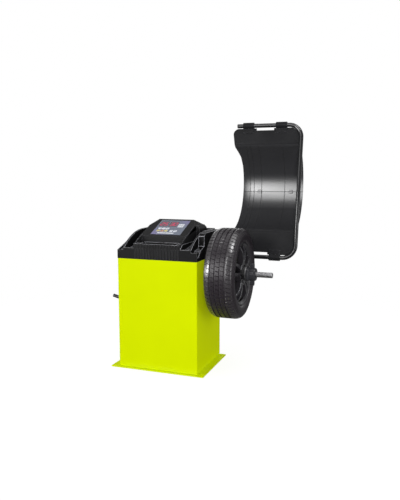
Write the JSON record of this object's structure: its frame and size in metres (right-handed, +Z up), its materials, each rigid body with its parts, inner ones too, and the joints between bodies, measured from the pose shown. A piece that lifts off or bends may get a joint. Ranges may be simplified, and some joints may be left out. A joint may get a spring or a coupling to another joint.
{
  "type": "wheel balancer",
  "caption": "Floor-standing wheel balancing machine: sheet-steel cabinet, weight tray with sloped console, spindle with a mounted wheel, and a swing-over wheel hood.",
  "frame": {"origin": "on the floor under the middle of the cabinet", "axes": "+X along the spindle towards the wheel, +Y to the back, +Z up; the operator stands at -Y"},
  "size_m": [1.1477, 0.9503, 1.6616],
  "materials": {
    "lime_paint": "smooth powder coat",
    "tray_plastic": "fine-grained moulding",
    "hood_plastic": "polished sheet",
    "hood_paint": "satin black",
    "dark_steel": "satin black",
    "grey_casting": "painted casting",
    "bright_steel": "turned",
    "light_alloy": "turned",
    "rim_paint": "gloss black paint with machined edges",
    "tyre_rubber": "moulded tread",
    "belt_rubber": "matte",
    "nut_plastic": "black anodised",
    "bronze": "turned",
    "circuit_board": "solder mask",
    "panel_film": "printed film",
    "display_red": "tinted window",
    "rocker_red": "moulded",
    "key_white": "moulded",
    "key_yellow": "moulded",
    "key_orange": "moulded"
  },
  "bodies": {
    "machine": {"base_plate": "lime_paint", "cabinet": "lime_paint", "back_panel": "lime_paint", "panel_screws": "dark_steel", "weight_tray": "tray_plastic", "console_housing": "tray_plastic", "control_panel": "panel_film", "display_lenses": "display_red", "control_board": "circuit_board", "cone_pegs": "dark_steel", "spindle_bench": "dark_steel", "spindle_housing": "grey_casting", "wheel_bearing": "bright_steel", "tail_bearing": "bright_steel", "bearing_cap": "dark_steel", "force_sensors": "bronze", "housing_bolts": "bright_steel", "motor_cradle": "dark_steel", "drive_motor": "grey_casting", "drive_belt": "belt_rubber", "encoder_sensor": "tray_plastic", "power_board": "circuit_board", "power_inlet": "tray_plastic", "switch_frame": "tray_plastic", "hood_bracket": "hood_paint", "hood_bushes": "bronze", "bracket_bolts": "bright_steel", "gauge_guide": "bright_steel"},
    "spindle": {"main_shaft": "bright_steel", "backing_flange": "bright_steel", "driven_pulley": "light_alloy", "encoder_disc": "bright_steel", "wheel_rim": "rim_paint", "tyre": "tyre_rubber", "tyre_valve": "belt_rubber", "centring_cone": "bright_steel"},
    "wheel_nut": {"quick_nut": "nut_plastic"},
    "motor_rotor": {"motor_shaft": "bright_steel", "motor_pulley": "light_alloy"},
    "hood": {"hood_tube": "hood_paint", "hood_upper_shell": "hood_plastic", "hood_lower_shell": "hood_plastic", "hood_clips": "tray_plastic", "seam_clips": "tray_plastic", "tube_plug": "tray_plastic", "stop_collar": "dark_steel", "end_collar": "dark_steel"},
    "power_rocker": {"power_rocker": "rocker_red"},
    "gauge_slide": {"gauge_rod": "bright_steel"},
    "gauge_arm": {"gauge_arm": "tray_plastic"},
    "key_1": {"key_1": "key_white"},
    "key_2": {"key_2": "key_white"},
    "key_3": {"key_3": "key_white"},
    "key_4": {"key_4": "key_yellow"},
    "key_5": {"key_5": "key_orange"},
    "key_6": {"key_6": "key_yellow"},
    "key_7": {"key_7": "key_white"},
    "key_8": {"key_8": "key_white"}
  },
  "joints": [
    {"name": "spindle_spin", "type": "hinge", "parent": "machine", "child": "spindle", "pos_m": [0, 0, 0.645], "axis": [1, 0, 0], "continuous": true},
    {"name": "nut_slide", "type": "slide", "parent": "spindle", "child": "wheel_nut", "axis": [1, 0, 0], "range_m": [0, 0.1]},
    {"name": "motor_spin", "type": "hinge", "parent": "machine", "child": "motor_rotor", "pos_m": [0, 0, 0.3], "axis": [1, 0, 0], "continuous": true},
    {"name": "hood_swing", "type": "hinge", "parent": "machine", "child": "hood", "pos_m": [0, 0.36, 0.709], "axis": [1, 0, 0], "range_deg": [0, 52]},
    {"name": "power_press", "type": "hinge", "parent": "machine", "child": "power_rocker", "pos_m": [-0.13, 0.238, 0.652], "axis": [1, 0, 0], "range_deg": [-18, 0]},
    {"name": "gauge_pull", "type": "slide", "parent": "machine", "child": "gauge_slide", "axis": [1, 0, 0], "range_m": [0, 0.12], "stiffness_N_per_m": 25, "springref_m": -0.02},
    {"name": "gauge_turn", "type": "hinge", "parent": "gauge_slide", "child": "gauge_arm", "pos_m": [0.289, -0.045, 0.778], "axis": [1, 0, 0], "range_deg": [0, 30]},
    {"name": "key_1_press", "type": "slide", "parent": "machine", "child": "key_1", "axis": [0, 0.3665, -0.9304], "range_m": [0, 0.0015], "stiffness_N_per_m": 300, "springref_m": -0.002},
    {"name": "key_2_press", "type": "slide", "parent": "machine", "child": "key_2", "axis": [0, 0.3665, -0.9304], "range_m": [0, 0.0015], "stiffness_N_per_m": 300, "springref_m": -0.002},
    {"name": "key_3_press", "type": "slide", "parent": "machine", "child": "key_3", "axis": [0, 0.3665, -0.9304], "range_m": [0, 0.0015], "stiffness_N_per_m": 300, "springref_m": -0.002},
    {"name": "key_4_press", "type": "slide", "parent": "machine", "child": "key_4", "axis": [0, 0.3665, -0.9304], "range_m": [0, 0.0015], "stiffness_N_per_m": 300, "springref_m": -0.002},
    {"name": "key_5_press", "type": "slide", "parent": "machine", "child": "key_5", "axis": [0, 0.3665, -0.9304], "range_m": [0, 0.0015], "stiffness_N_per_m": 300, "springref_m": -0.002},
    {"name": "key_6_press", "type": "slide", "parent": "machine", "child": "key_6", "axis": [0, 0.3665, -0.9304], "range_m": [0, 0.0015], "stiffness_N_per_m": 300, "springref_m": -0.002},
    {"name": "key_7_press", "type": "slide", "parent": "machine", "child": "key_7", "axis": [0, 0.3665, -0.9304], "range_m": [0, 0.0015], "stiffness_N_per_m": 300, "springref_m": -0.002},
    {"name": "key_8_press", "type": "slide", "parent": "machine", "child": "key_8", "axis": [0, 0.3665, -0.9304], "range_m": [0, 0.0015], "stiffness_N_per_m": 300, "springref_m": -0.002}
  ],
  "couplings": [
    {"joint": "motor_spin", "follows": "spindle_spin", "ratio": 3.1818}
  ]
}
